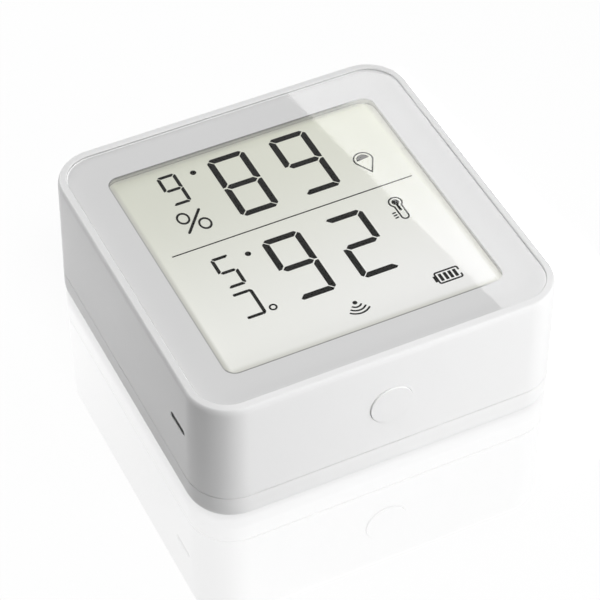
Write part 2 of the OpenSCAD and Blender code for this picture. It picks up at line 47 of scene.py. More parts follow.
# Pieces are modelled in millimetres in the part's own frame: back face at z = 0, display up,
# button wall towards -Y, air slot towards -X. They become metres when they are finished.
MM = 0.001
CORNER_STEPS, TURN_STEPS, BOSS_STEPS, SLOT_STEPS, DOT_STEPS = 16, 72, 32, 8, 28
# points closer than MERGE become one; NEAR and ABOUT are how far off a tested point may lie
MERGE, NEAR, ABOUT = 1e-4, 0.01, 0.1
# where a solid that cuts a wall starts outside it, and how deep it goes
CUT_START, CUT_DEPTH = 2.0, 4.0

# Body. Sizes in threes are half width, half depth and corner radius.
HALF, TOP, CORNER, DRAFT, WALL = 30.0, 24.0, 6.9, 0.3, 1.6
SPLIT, COVER_TOP = 5.0, 4.85
LENS_GAP, LENS_ROUND, SEAT_ROUND, EDGE_ROUND, CUT_ROUND = 0.008, 0.02, 0.13, 0.03, 0.08
# how far in from the wall and below the top each line of the rim's edge lies
RIM_EDGE = ((0.0, 1.3), (0.06, 0.85), (0.14, 0.54), (0.22, 0.35), (0.3, 0.24), (0.38, 0.17),
            (0.46, 0.13))
# highest line of the rim, a hair inside the solid's top
RIM_TOP = 23.999
LEDGE_TOP, LEDGE_BOTTOM = 23.2, 21.7
OPENING = (23.3, 23.05, 2.65)
# Lens, printed border and display
LENS = (28.62, 28.46, 5.36)
LENS_BOTTOM, LENS_TOP = 23.4, 23.86
# how far up the normal of a flat face and of a sloping edge of the lens points, at least
FLAT, SLOPING = 0.98, 0.1
BORDER = (28.46, 28.3, 5.2)
WINDOW = (22.85, 22.5, 1.8)
# top of the border, width of the fine line of painted shade round its window, and how far the
# window is moved along Y
BORDER_TOP, BORDER_SHADE_LINE, WINDOW_AT = 23.385, 0.18, -0.25
FILM = (23.2, 22.95, 2.55)
FILM_TOP, INK = 21.9, 0.03
MARKS_AT = (0.14, 0.28)
# Button and air slot
BUTTON_Z, BUTTON_R, BUTTON_HOLE_R, BUTTON_FACE, BUTTON_ROUND = 13.7, 3.5, 3.54, -30.34, 0.1
FLANGE_R, FLANGE_FRONT, FLANGE_BACK = 4.4, -28.379, -27.579
POST_R, POST_END = 1.5, -25.379
SLOT_Y, SLOT_Z, SLOT_LENGTH, SLOT_HEIGHT, SLOT_FLAT = -20.3, 14.2, 4.8, 1.1, 0.001
# dark plug, painted shade for the inside of the air slot: how far in, its depth, its play, its edge
# and its dish
PLUG_AT, PLUG_DEPTH, PLUG_PLAY, PLUG_EDGE, PLUG_DISH = 0.1, 0.5, 0.01, 0.15, 0.04
# Cover
COVER_FLOOR, BACK_ROUND, COVER_ROUND, COVER_FILLET = 2.0, 2.0, 0.15, 0.8
LIP_INSET, LIP_TOP = 0.2, 4.98
TONGUE_TOP, TONGUE_INSET, TONGUE_WIDTH, TONGUE_LEAD = 6.8, 1.75, 1.1, 0.3
RIB_AT, RIB_WIDTH, RIB_HEIGHT, RIB_OUT = 15.0, 1.2, 1.2, 0.11
RIB_ROOT, RIB_FOOT, RIB_TAPER = 0.2, 0.3, 0.5
KEY_R, KEY_SLOT_R, KEY_Y, KEY_END, KEY_ROUND, KEY_PAST = 3.75, 1.9, -13.0, -20.0, 0.2, 1.0
# Bosses
BOSS_R, BOSS_BOTTOM, BOSS_ROOT = 1.7, 17.8, 0.3
BOSSES = [(x, y) for x in (-26.4, 26.4) for y in (-12.0, 22.45)]
# Cells
CELL_R, CELL_LENGTH, CELL_Z, CELL_BAND = 5.25, 44.5, 7.9, 34.0
NUB_R, NUB_HEIGHT, NUB_ROUND = 1.9, 0.9, 0.25
# bare metal reaches BASE_R at the base and NUB_FOOT_R at the contact, and the ring reaches RING_R
BASE_R, NUB_FOOT_R, RING_R = 3.7, 2.4, 4.0
# base along X, place along Y, and the way that the contact points
CELLS = {"cell_a": (20.25, 14.05, -1), "cell_b": (-20.25, 1.95, 1)}


# Materials

GRAIN_SCALE, FILM_SCALE, JACKET_SCALE, DRIFT_SCALE = 4000.0, 9000.0, 2500.0, 60.0
# shares of the fine grain and the wide drift in a surface's tone
FINE_SHARE, WIDE_SHARE = 0.35, 0.65
# scale along X that draws the noise of a metal sheet out into streaks
STREAK_STRETCH = 0.06


def new_group(name, inputs, outputs):
    """An empty shader node group with float or vector sockets."""
    group = bpy.data.node_groups.new(name, "ShaderNodeTree")
    for label, kind, value in inputs:
        socket = group.interface.new_socket(label, in_out="INPUT", socket_type=kind)
        if value is not None:
            socket.default_value = value
    for label in outputs:
        group.interface.new_socket(label, in_out="OUTPUT", socket_type="NodeSocketFloat")
    return group, group.nodes.new("NodeGroupInput"), group.nodes.new("NodeGroupOutput")


def moulding_grain():
    """Fine grain of a moulded or sprayed surface: a height, and a tone from 0 to 1."""
    group, source, sink = new_group(
        "moulding_grain",
        [("Place", "NodeSocketVector", None), ("Scale", "NodeSocketFloat", GRAIN_SCALE),
         ("Drift", "NodeSocketFloat", DRIFT_SCALE)],
        ["Height", "Tone"])
    fine = group.nodes.new("ShaderNodeTexNoise")
    fine.inputs["Detail"].default_value = 3.0
    fine.inputs["Roughness"].default_value = 0.6
    wide = group.nodes.new("ShaderNodeTexNoise")
    wide.inputs["Detail"].default_value = 2.0
    blend = group.nodes.new("ShaderNodeMath")
    blend.operation = "MULTIPLY_ADD"
    blend.inputs[1].default_value = FINE_SHARE
    spread = group.nodes.new("ShaderNodeMath")
    spread.operation = "MULTIPLY"
    spread.inputs[1].default_value = WIDE_SHARE
    link = group.links.new
    link(source.outputs["Place"], fine.inputs["Vector"])
    link(source.outputs["Scale"], fine.inputs["Scale"])
    link(source.outputs["Place"], wide.inputs["Vector"])
    link(source.outputs["Drift"], wide.inputs["Scale"])
    link(wide.outputs["Fac"], spread.inputs[0])
    link(fine.outputs["Fac"], blend.inputs[0])
    link(spread.outputs[0], blend.inputs[2])
    link(fine.outputs["Fac"], sink.inputs["Height"])
    link(blend.outputs[0], sink.inputs["Tone"])
    return group


def drawn_streaks():
    """Streaks left by rolling or drawing a metal sheet, along X."""
    group, source, sink = new_group(
        "drawn_streaks",
        [("Place", "NodeSocketVector", None), ("Scale", "NodeSocketFloat", GRAIN_SCALE)],
        ["Height", "Tone"])
    stretch = group.nodes.new("ShaderNodeMapping")
    stretch.inputs["Scale"].default_value = (STREAK_STRETCH, 1.0, 1.0)
    streak = group.nodes.new("ShaderNodeTexNoise")
    streak.inputs["Detail"].default_value = 4.0
    link = group.links.new
    link(source.outputs["Place"], stretch.inputs["Vector"])
    link(stretch.outputs["Vector"], streak.inputs["Vector"])
    link(source.outputs["Scale"], streak.inputs["Scale"])
    link(streak.outputs["Fac"], sink.inputs["Height"])
    link(streak.outputs["Fac"], sink.inputs["Tone"])
    return group


GRAIN = moulding_grain()
STREAKS = drawn_streaks()


def shaded(colour, amount):
    """A colour made lighter or darker, with full alpha."""
    return tuple(max(0.0, min(1.0, c * amount)) for c in colour) + (1.0,)


def finish(name, colour, rough, vary=0.05, group=GRAIN, scale=GRAIN_SCALE, tone=0.03, bump=0.04,
           depth=0.02, **sockets):
    """A material whose colour, roughness and bump follow its surface's grain or streaks."""
    material = bpy.data.materials.new(name)
    material.use_nodes = True
    nodes, link = material.node_tree.nodes, material.node_tree.links.new
    surface = nodes["Principled BSDF"]
    for label, value in sockets.items():
        surface.inputs[label.replace("_", " ")].default_value = value
    place = nodes.new("ShaderNodeTexCoord")
    texture = nodes.new("ShaderNodeGroup")
    texture.node_tree = group
    texture.inputs["Scale"].default_value = scale
    link(place.outputs["Object"], texture.inputs["Place"])
    paint = nodes.new("ShaderNodeMix")
    paint.data_type = "RGBA"
    paint.inputs["A"].default_value = shaded(colour, 1 - tone)
    paint.inputs["B"].default_value = shaded(colour, 1 + tone)
    link(texture.outputs["Tone"], paint.inputs["Factor"])
    link(paint.outputs["Result"], surface.inputs["Base Color"])
    sheen = nodes.new("ShaderNodeMapRange")
    sheen.inputs["To Min"].default_value = rough - vary
    sheen.inputs["To Max"].default_value = rough + vary
    link(texture.outputs["Tone"], sheen.inputs["Value"])
    link(sheen.outputs["Result"], surface.inputs["Roughness"])
    relief = nodes.new("ShaderNodeBump")
    relief.inputs["Strength"].default_value = bump
    relief.inputs["Distance"].default_value = depth * MM
    link(texture.outputs["Height"], relief.inputs["Height"])
    link(relief.outputs["Normal"], surface.inputs["Normal"])
    return material


def place_parts(material):
    """The X, Y and Z sockets of a material's Object coordinates."""
    nodes = material.node_tree.nodes
    split = nodes.new("ShaderNodeSeparateXYZ")
    material.node_tree.links.new(nodes["Texture Coordinate"].outputs["Object"], split.inputs[0])
    return split.outputs


def faded(material, first, along, start, end, second):
    """Paint that turns from one colour into another between two places in mm. A colour is given as
    values or as a socket."""
    nodes, link = material.node_tree.nodes, material.node_tree.links.new
    ramp = nodes.new("ShaderNodeMapRange")
    ramp.interpolation_type = "SMOOTHSTEP"
    ramp.inputs["From Min"].default_value = start * MM
    ramp.inputs["From Max"].default_value = end * MM
    link(along, ramp.inputs["Value"])
    blend = nodes.new("ShaderNodeMix")
    blend.data_type = "RGBA"
    link(ramp.outputs["Result"], blend.inputs["Factor"])
    for label, colour in (("A", first), ("B", second)):
        if isinstance(colour, tuple):
            blend.inputs[label].default_value = (*colour, 1)
        else:
            link(colour, blend.inputs[label])
    return blend.outputs["Result"]


def repaint(material, paint):
    """Gives a material another base colour."""
    surface = material.node_tree.nodes["Principled BSDF"]
    material.node_tree.links.new(paint, surface.inputs["Base Color"])


# values that several finishes share
PRINT = dict(bump=0.02, Specular_IOR_Level=0.0)
CLEAR = dict(bump=0.0, Transmission_Weight=1.0)
METAL = dict(group=STREAKS, Metallic=1.0)


def display_film_finish(name):
    """Film over the liquid crystal, with painted light and shade: paler towards the button wall and
    the right, as painted light, and darker along its edges, a painted shadow of the window's lip."""
    far_left, far_right = (0.757, 0.77, 0.672), (0.83, 0.842, 0.735)
    near_left, near_right = (0.965, 0.97, 0.925), (1.0, 1.0, 0.985)
    material = finish(name, far_left, rough=0.45, scale=FILM_SCALE, tone=0.01, **PRINT)
    x, y, _ = place_parts(material)
    side, end = WINDOW[:2]
    grain = material.node_tree.nodes["Mix"].outputs["Result"]
    # painted light: paler towards the right and towards the button wall
    far = faded(material, grain, x, -side, side, far_right)
    near = faded(material, near_left, x, -side, side, near_right)
    paint = faded(material, far, y, end, -end, near)
    # the painted shadow of the window's lip along each edge: its axis, where it starts, where it is
    # full, and its colour
    for edge in ((x, -side + 1.5, -side + 0.6, (0.62, 0.62, 0.57)),
                 (x, side - 1.3, FILM[0], (0.6, 0.6, 0.55)),
                 (y, end - 0.5, FILM[1], (0.6, 0.6, 0.55)),
                 (y, -end + 2.2, -end + 0.8, (0.7, 0.7, 0.65))):
        paint = faded(material, paint, *edge)
    repaint(material, paint)
    return material


def window_side_finish(name, low, high, lit):
    """Painted shade for a wall or line round the window: another shade at the top, and painted
    light towards the right.
    """
    painted_light_reach = 6.0
    material = finish(name, low, rough=0.6, tone=0.02, **PRINT)
    x, _, z = place_parts(material)
    paint = material.node_tree.nodes["Mix"].outputs["Result"]
    # painted shade at the top, under the border
    paint = faded(material, paint, z, FILM_TOP, LEDGE_TOP, high)
    # painted light on the right
    paint = faded(material, paint, x, WINDOW[0] - painted_light_reach, WINDOW[0], lit)
    repaint(material, paint)
    return material


# colour, roughness and what differs from the usual grain
FINISHES = {
    "white_plastic": dict(colour=(0.86, 0.86, 0.86), rough=0.42, tone=0.012, bump=0.05),
    "clear_plastic": dict(colour=(0.99, 0.99, 0.99), rough=0.02, vary=0.01, tone=0.004, IOR=1.21,
                          **CLEAR),
    "pale_print": dict(colour=(0.745, 0.745, 0.745), rough=0.6, tone=0.01, **PRINT),
    "display_glass": dict(colour=(0.85, 0.9, 0.89), rough=0.03, vary=0.02, tone=0.01, IOR=1.5,
                          **CLEAR),
    "silver_film": dict(colour=(0.6, 0.61, 0.6), rough=0.3, Metallic=0.9),
    "ivory_plastic": dict(colour=(0.78, 0.75, 0.66), rough=0.45, tone=0.02),
    "strip_rubber": dict(colour=(0.1, 0.1, 0.1), rough=0.7, tone=0.1),
    "board_green": dict(colour=(0.03, 0.2, 0.09), rough=0.35, scale=1500.0, tone=0.12, bump=0.06),
    "tinned_sheet": dict(colour=(0.72, 0.72, 0.7), rough=0.28, tone=0.05, **METAL),
    "black_plastic": dict(colour=(0.03, 0.03, 0.032), rough=0.55, tone=0.15),
    "orange_plastic": dict(colour=(0.75, 0.36, 0.06), rough=0.4, tone=0.05),
    "brown_ceramic": dict(colour=(0.35, 0.24, 0.14), rough=0.5, tone=0.08),
    "grey_foam": dict(colour=(0.22, 0.23, 0.25), rough=0.95, scale=2600.0, tone=0.2, bump=0.5,
                      depth=0.1),
    "cell_jacket": dict(colour=(0.10, 0.11, 0.12), rough=0.3, scale=JACKET_SCALE, tone=0.06,
                        bump=0.02),
    "screw_steel": dict(colour=(0.45, 0.45, 0.46), rough=0.32, tone=0.06, **METAL),
    # lighter painted shade for the line and wall on the window's left
    "painted_window_shade_left": dict(colour=(0.45, 0.45, 0.44), rough=0.6, **PRINT),
    # dark plug, painted shade inside the air slot
    "slot_shade_plug": dict(colour=(0.03, 0.03, 0.03), rough=0.8, scale=6000.0, tone=0.3, bump=0.6,
                      depth=0.05),
    "cell_band": dict(colour=(0.55, 0.56, 0.57), rough=0.3, scale=JACKET_SCALE, bump=0.02),
    "lens_edge": dict(colour=(0.5, 0.5, 0.5), rough=0.5, tone=0.01, bump=0.02),
    "display_ink": dict(colour=(0.008, 0.008, 0.007), rough=0.6, scale=FILM_SCALE, tone=0.1,
                        **PRINT),
    "display_grey": dict(colour=(0.12, 0.12, 0.11), rough=0.5, scale=FILM_SCALE, tone=0.05,
                         **PRINT),
}
MATERIALS = {name: finish(name, **values) for name, values in FINISHES.items()}
MATERIALS["display_film"] = display_film_finish("display_film")
# painted shade on the border's fine line and inner wall round the window, with painted light
# towards the right
MATERIALS["painted_window_shade"] = window_side_finish("painted_window_shade", (0.3, 0.3, 0.29), (0.29, 0.29, 0.28),
                                             (0.72, 0.72, 0.72))
# painted shade on the opening's wall round the display, darkest at the top, with painted light
# towards the right
MATERIALS["opening_painted_shade"] = window_side_finish("opening_painted_shade", (0.5, 0.5, 0.47), (0.2, 0.2, 0.19),
                                               (0.78, 0.78, 0.76))


# Modelling

def outer(z, inset=0.0):
    """Section of the body at a height, drawn in by inset: half width, half depth, corner radius
    and height."""
    grown = DRAFT * (1 - z / TOP) - inset
    return HALF + grown, HALF + grown, CORNER + grown, z


def resized(sizes, amount):
    """Half width, half depth and corner radius, each grown by an amount."""
    return tuple(size + amount for size in sizes)


def bevelled(bm, geom, width, steps, affect):
    """Bevels some corners or edges."""
    bmesh.ops.bevel(bm, geom=geom, offset=width, offset_type="OFFSET", segments=steps,
                    profile=0.5, affect=affect, material=-1)


def moved_on(bm, geom, by):
    """Moves the new points of an extrusion."""
    verts = [v for v in geom if isinstance(v, bmesh.types.BMVert)]
    bmesh.ops.translate(bm, vec=by, verts=verts)


def turned_about(bm, axis, angle, verts):
    """Turns points about an axis through the origin."""
    bmesh.ops.rotate(bm, cent=(0, 0, 0), matrix=Matrix.Rotation(angle, 3, axis), verts=verts)


def ring(bm, half_x, half_y, corner, z):
    """Face with round corners at a height."""
    known = set(bm.faces)
    verts = bmesh.ops.create_grid(bm, x_segments=1, y_segments=1, size=1.0)["verts"]
    bmesh.ops.scale(bm, vec=(half_x, half_y, 1), verts=verts)
    bmesh.ops.translate(bm, vec=(0, 0, z), verts=verts)
    bevelled(bm, verts, corner, CORNER_STEPS, "VERTICES")
    return next(f for f in bm.faces if f not in known)


def grow(bm, edges, old, new):
    """Extrudes a loop from one section to the next, each round corner about its own centre."""
    made = bmesh.ops.extrude_edge_only(bm, edges=edges)["geom"]
    verts = {v for v in made if isinstance(v, bmesh.types.BMVert)}
    spread = new[2] / old[2]
    for side in (-1, 1):
        for end in (-1, 1):
            corner = [v for v in verts if v.co.x * side > 0 and v.co.y * end > 0]
            at = Vector((side * (old[0] - old[2]), end * (old[1] - old[2]), 0))
            to = Vector((side * (new[0] - new[2]), end * (new[1] - new[2]), new[3] - old[3]))
            bmesh.ops.scale(bm, vec=(spread, spread, 1), space=Matrix.Translation(-at),
                            verts=corner)
            bmesh.ops.translate(bm, vec=to - at, verts=corner)
    return [e for e in made
            if isinstance(e, bmesh.types.BMEdge) and all(v in verts for v in e.verts)]


def loft(bm, sections, closed=False):
    """Skins a row of sections. A closed row ends where it starts, an open one gets a face at each
    end."""
    face = ring(bm, *sections[0])
    edges = face.edges[:]
    if closed:
        bmesh.ops.delete(bm, geom=[face], context="FACES_ONLY")
        sections = sections + sections[:1]
    for old, new in zip(sections, sections[1:]):
        edges = grow(bm, edges, old, new)
    if closed:
        bmesh.ops.remove_doubles(bm, verts=bm.verts, dist=MERGE)
    else:
        bmesh.ops.contextual_create(bm, geom=edges)


def rod(bm, radius, length, at, axis="Z", steps=TURN_STEPS):
    """Round rod from a point along Z or Y."""
    turn = {"Y": Matrix.Rotation(-math.pi / 2, 4, "X"), "Z": Matrix.Identity(4)}[axis]
    place = Matrix.Translation(at) @ turn @ Matrix.Translation((0, 0, length / 2))
    bmesh.ops.create_cone(bm, cap_ends=True, segments=steps, radius1=radius, radius2=radius,
                          depth=length, matrix=place)


def box(bm, low, high):
    """Block between two corners."""
    low, high = Vector(low), Vector(high)
    verts = bmesh.ops.create_cube(bm, size=1.0)["verts"]
    bmesh.ops.scale(bm, vec=high - low, verts=verts)
    bmesh.ops.translate(bm, vec=(low + high) / 2, verts=verts)
    return verts


def soften(bm, chosen, width, steps=3):
    """Rounds the edges whose two ends both pass a test."""
    edges = [e for e in bm.edges if all(chosen(v.co) for v in e.verts)]
    bevelled(bm, edges, width, steps, "EDGES")


def turned(bm, profile, at, axis):
    """Spins a line of (radius, distance) points about an axis through a point."""
    verts = [bm.verts.new((r, 0, d)) for r, d in profile]
    edges = [bm.edges.new(pair) for pair in zip(verts, verts[1:])]
    bmesh.ops.spin(bm, geom=verts + edges, cent=(0, 0, 0), axis=(0, 0, 1), dvec=(0, 0, 0),
                   angle=2 * math.pi, steps=TURN_STEPS, use_merge=True, use_duplicate=False)
    bmesh.ops.remove_doubles(bm, verts=bm.verts, dist=MERGE)
    way = Vector(axis).to_track_quat("Z", "Y").to_matrix().to_4x4()
    bmesh.ops.transform(bm, matrix=Matrix.Translation(at) @ way, verts=bm.verts)


def carved(bm, tool, operation="DIFFERENCE"):
    """The first solid with the second one taken away or added."""
    blanks = []
    for name, source in (("blank", bm), ("tool", tool)):
        bmesh.ops.recalc_face_normals(source, faces=source.faces)
        mesh = bpy.data.meshes.new(name)
        source.to_mesh(mesh)
        source.free()
        blanks.append(bpy.data.objects.new(name, mesh))
        scene.collection.objects.link(blanks[-1])
    cut = blanks[0].modifiers.new("cut", "BOOLEAN")
    cut.object, cut.operation, cut.solver = blanks[1], operation, "EXACT"
    result = bmesh.new()
    result.from_object(blanks[0], bpy.context.evaluated_depsgraph_get())
    for blank in blanks:
        mesh = blank.data
        bpy.data.objects.remove(blank)
        bpy.data.meshes.remove(mesh)
    return result


def piece(name, bm, body, finishes, nodes=(), crisp=30):
    """Makes a finished mesh ride on a body, in metres, in place of the CAD nodes that it stands
    for. Edges sharper than crisp degrees stay sharp."""
    bmesh.ops.recalc_face_normals(bm, faces=bm.faces)
    bmesh.ops.scale(bm, vec=(MM, MM, MM), verts=bm.verts)
    mesh = bpy.data.meshes.new(name)
    bm.to_mesh(mesh)
    bm.free()
    mesh.shade_smooth()
    mesh.set_sharp_from_angle(angle=math.radians(crisp))
    for finish_name in finishes:
        mesh.materials.append(MATERIALS[finish_name])
    made = bpy.data.objects.new(name, mesh)
    scene.collection.objects.link(made)
    even = made.modifiers.new("even_shading", "WEIGHTED_NORMAL")
    even.keep_sharp = True
    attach(made, body)
    if nodes:
        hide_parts(*nodes)
    return made


def rounding(radius, steps, start, end):
    """Steps (inset, rise) along a rounded edge, from one angle to another."""
    for i in range(steps + 1):
        angle = math.radians(start + (end - start) * i / steps)
        yield radius * (1 - math.cos(angle)), radius * math.sin(angle)


# Front housing and air slot

def front_housing():
    sections = [outer(SPLIT, EDGE_ROUND)]
    sections += [outer(SPLIT + EDGE_ROUND + rise, inset)
                 for inset, rise in rounding(EDGE_ROUND, steps=3, start=-60, end=0)]
    sections += [outer(TOP - drop, inset) for inset, drop in RIM_EDGE]
    seat_wall = resized(LENS, LENS_GAP)
    sections += [(*resized(seat_wall, SEAT_ROUND), RIM_TOP)]
    sections += [(*seat_wall, TOP - SEAT_ROUND), (*seat_wall, LEDGE_TOP)]
    sections += [(*OPENING, LEDGE_TOP), (*OPENING, LEDGE_BOTTOM)]
    sections += [outer(LEDGE_BOTTOM, WALL), outer(SPLIT, WALL)]
    bm = bmesh.new()
    loft(bm, sections, closed=True)
    hole = bmesh.new()
    rod(hole, BUTTON_HOLE_R, CUT_DEPTH, (0, -HALF - CUT_START, BUTTON_Z), "Y")
    bm = carved(bm, hole)
    bm = carved(bm, air_slot(-HALF - CUT_START, CUT_DEPTH))
    wall_y, wall_x = -outer(BUTTON_Z)[0], -outer(SLOT_Z)[0]

    def button_rim(p):
        from_rim = math.hypot(p.x, p.z - BUTTON_Z) - BUTTON_HOLE_R
        return abs(from_rim) < 2 * NEAR and abs(p.y - wall_y) < ABOUT

    def slot_rim(p):
        beside = abs(p.y - SLOT_Y) < SLOT_LENGTH / 2 + 2 * NEAR
        return (beside and abs(p.z - SLOT_Z) < SLOT_HEIGHT / 2 + 2 * NEAR
                and abs(p.x - wall_x) < ABOUT)

    soften(bm, button_rim, CUT_ROUND)
    soften(bm, slot_rim, CUT_ROUND, steps=2)
    for x, y in BOSSES:
        rod(bm, BOSS_R, LEDGE_BOTTOM + BOSS_ROOT - BOSS_BOTTOM, (x, y, BOSS_BOTTOM),
            steps=BOSS_STEPS)
    # the opening's wall round the display takes painted shade
    for face in bm.faces:
        at = face.calc_center_median()
        beside_display = abs(at.x) < OPENING[0] + NEAR and abs(at.y) < OPENING[1] + NEAR
        face.material_index = int(beside_display and LEDGE_BOTTOM < at.z < LEDGE_TOP)
    piece("front_housing_shell", bm, "unit", ["white_plastic", "opening_painted_shade"],
          ["front_housing"])


def air_slot(start, depth, play=0.0):
    """Solid with round ends that fills the air slot from one x over a depth, less some play."""
    bm = bmesh.new()
    verts = bmesh.ops.create_grid(bm, x_segments=1, y_segments=1, size=1.0)["verts"]
    half = SLOT_HEIGHT / 2 - play
    bmesh.ops.scale(bm, vec=(half, SLOT_LENGTH / 2 - play, 1), verts=verts)
    bevelled(bm, verts, half - SLOT_FLAT, SLOT_STEPS, "VERTICES")
    deep = bmesh.ops.extrude_face_region(bm, geom=bm.faces[:])["geom"]
    moved_on(bm, deep, (0, 0, depth))
    turned_about(bm, "Y", math.pi / 2, bm.verts)
    bmesh.ops.translate(bm, vec=(start, SLOT_Y, SLOT_Z), verts=bm.verts)
    return bm


def slot_shade_plug():
    """Dark plug in the air slot, dished towards its middle: painted shade that stands in for the
    shade inside the slot.
    """
    front = -outer(SLOT_Z)[0] + PLUG_AT
    bm = air_slot(front, PLUG_DEPTH, PLUG_PLAY)
    outside = [f for f in bm.faces if abs(f.calc_center_median().x - front) < NEAR]
    bmesh.ops.inset_region(bm, faces=outside, thickness=PLUG_EDGE, depth=-PLUG_DISH,
                           use_even_offset=True)
    piece("air_slot_shade_plug", bm, "unit", ["slot_shade_plug"])


# Rear cover

def rear_cover():
    bend = outer(BACK_ROUND)[:3]
    inner = TONGUE_INSET + TONGUE_WIDTH
    sections = [(*resized(bend, -inset), BACK_ROUND + rise)
                for inset, rise in rounding(BACK_ROUND, steps=10, start=-90, end=0)]
    sections += [outer(COVER_TOP - COVER_ROUND + rise, inset)
                 for inset, rise in rounding(COVER_ROUND, steps=4, start=0, end=90)]
    sections += [outer(COVER_TOP, LIP_INSET), outer(LIP_TOP, LIP_INSET)]
    sections += [outer(LIP_TOP, TONGUE_INSET), outer(TONGUE_TOP - TONGUE_LEAD, TONGUE_INSET),
                 outer(TONGUE_TOP, TONGUE_INSET + TONGUE_LEAD), outer(TONGUE_TOP, inner)]
    sections += [outer(COVER_FLOOR + COVER_FILLET - rise, inner + inset)
                 for inset, rise in rounding(COVER_FILLET, steps=5, start=0, end=90)]
    bm = bmesh.new()
    loft(bm, sections)
    for tool in keyhole():
        bm = carved(bm, tool)
    for level in (0, COVER_FLOOR):
        soften(bm, key_rim(level), KEY_ROUND)
    bm = carved(bm, friction_ribs(), "UNION")
    piece("rear_cover_shell", bm, "cover", ["white_plastic"], ["rear_cover"])


def keyhole():
    """Solids that cut the round entry, the slot and its round end."""
    tools = [bmesh.new() for _ in range(3)]
    deep = COVER_FLOOR + 2 * KEY_PAST
    rod(tools[0], KEY_R, deep, (0, KEY_Y, -KEY_PAST))
    rod(tools[1], KEY_SLOT_R, deep, (0, KEY_END, -KEY_PAST))
    box(tools[2], (-KEY_SLOT_R, KEY_END, -KEY_PAST), (KEY_SLOT_R, KEY_Y, deep - KEY_PAST))
    return tools


def key_rim(level):
    """Test for the points of the keyhole's rim at a height."""
    def test(p):
        along = KEY_END - KEY_SLOT_R - ABOUT < p.y < KEY_Y + KEY_R + ABOUT
        return along and abs(p.x) < KEY_R + ABOUT and abs(p.z - level) < NEAR

    return test


def friction_ribs():
    """Upright ribs on the tongue, two to a side, narrower at the top."""
    bm = bmesh.new()
    reach = outer(COVER_TOP, TONGUE_INSET)[0]
    for turn in range(4):
        for middle in (-RIB_AT, RIB_AT):
            verts = box(bm, (reach - RIB_ROOT, middle - RIB_WIDTH / 2, COVER_TOP - RIB_FOOT),
                        (reach + RIB_OUT, middle + RIB_WIDTH / 2, COVER_TOP + RIB_HEIGHT))
            upper = [v for v in verts if v.co.z > COVER_TOP]
            bmesh.ops.scale(bm, vec=(1, RIB_TAPER, 1), verts=upper,
                            space=Matrix.Translation((0, -middle, 0)))
            turned_about(bm, "Z", turn * math.pi / 2, verts)
    return bm


# Lens, printed border and display film

def lens():
    sections = [(*resized(LENS, -LENS_ROUND), LENS_BOTTOM), (*LENS, LENS_BOTTOM + LENS_ROUND)]
    sections += [(*resized(LENS, -inset), LENS_TOP - LENS_ROUND + rise)
                 for inset, rise in rounding(LENS_ROUND, steps=3, start=0, end=90)]
    bm = bmesh.new()
    loft(bm, sections)
    bm.normal_update()
    # flat faces stay clear and the sides and lower edge are opaque grey; the rounded top edge is
    # opaque white, a painted highlight along the lens's edge
    for face in bm.faces:
        level = face.normal.z
        face.material_index = 0 if abs(level) > FLAT else 2 if level > SLOPING else 1
    made = piece("display_lens", bm, "unit", ["clear_plastic", "lens_edge", "white_plastic"],
                 ["lens"])
    made.visible_shadow = False
    made.visible_diffuse = False


def printed_border():
    """Printed frame behind the lens. A fine line round its window and the window's inner wall carry
    painted shade, with painted light towards the right; on the left they take a lighter painted
    shade."""
    bm = bmesh.new()
    line = resized(WINDOW, BORDER_SHADE_LINE)
    loft(bm, [(*BORDER, LEDGE_TOP), (*BORDER, BORDER_TOP), (*line, BORDER_TOP),
              (*WINDOW, BORDER_TOP), (*WINDOW, LEDGE_TOP)], closed=True)

    def past_line(p):
        return max(abs(p.x) - line[0], abs(p.y) - line[1])

    # the fine line and the window's inner wall take painted shade, lighter on the left
    for face in bm.faces:
        at = face.calc_center_median()
        on_line = past_line(at) < -NEAR and at.z > LEDGE_TOP + NEAR
        on_left = at.x < -WINDOW[0] + NEAR
        face.material_index = (2 if on_left else 1) if on_line else 0
    inside = [v for v in bm.verts if past_line(v.co) < NEAR]
    bmesh.ops.translate(bm, vec=(0, WINDOW_AT, 0), verts=inside)
    made = piece("printed_border", bm, "unit", ["pale_print", "painted_window_shade", "painted_window_shade_left"],
                 ["lens_tape"])
    made.visible_shadow = False


def display_film():
    bm = bmesh.new()
    loft(bm, [(*FILM, LEDGE_BOTTOM), (*FILM, FILM_TOP)])
    piece("display_face_film", bm, "unit", ["display_film"], ["front_polarizer"])


# Marks of the display, drawn flat in reading order: x to the right and y up, in millimetres

def bar(bm, start, end, stroke, cuts=0, slants=(0, 0)):
    """Straight stroke between two points. In strokes, cuts bevels its corners, all alike or from
    the right of its start round to the right of its end, and slants draws in the right corner of
    its start and of its end."""
    run = Vector(end) - Vector(start)
    verts = bmesh.ops.create_grid(bm, x_segments=1, y_segments=1, size=0.5)["verts"]
    bmesh.ops.scale(bm, vec=(run.length, stroke, 1), verts=verts)
    corners = {(v.co.x > 0, v.co.y > 0): v for v in verts}
    right_start, left_start = corners[False, False], corners[False, True]
    left_end, right_end = corners[True, True], corners[True, False]
    bmesh.ops.translate(bm, vec=(slants[0] * stroke, 0, 0), verts=[right_start])
    bmesh.ops.translate(bm, vec=(-slants[1] * stroke, 0, 0), verts=[right_end])
    turned_about(bm, "Z", math.atan2(run.y, run.x), verts)
    middle = (Vector(start) + Vector(end)) / 2
    bmesh.ops.translate(bm, vec=(*middle, 0), verts=verts)
    if not isinstance(cuts, tuple):
        cuts = (cuts,) * 4
    for vert, cut in zip((right_start, left_start, left_end, right_end), cuts):
        if cut:
            bevelled(bm, [vert], cut * stroke, 1, "VERTICES")


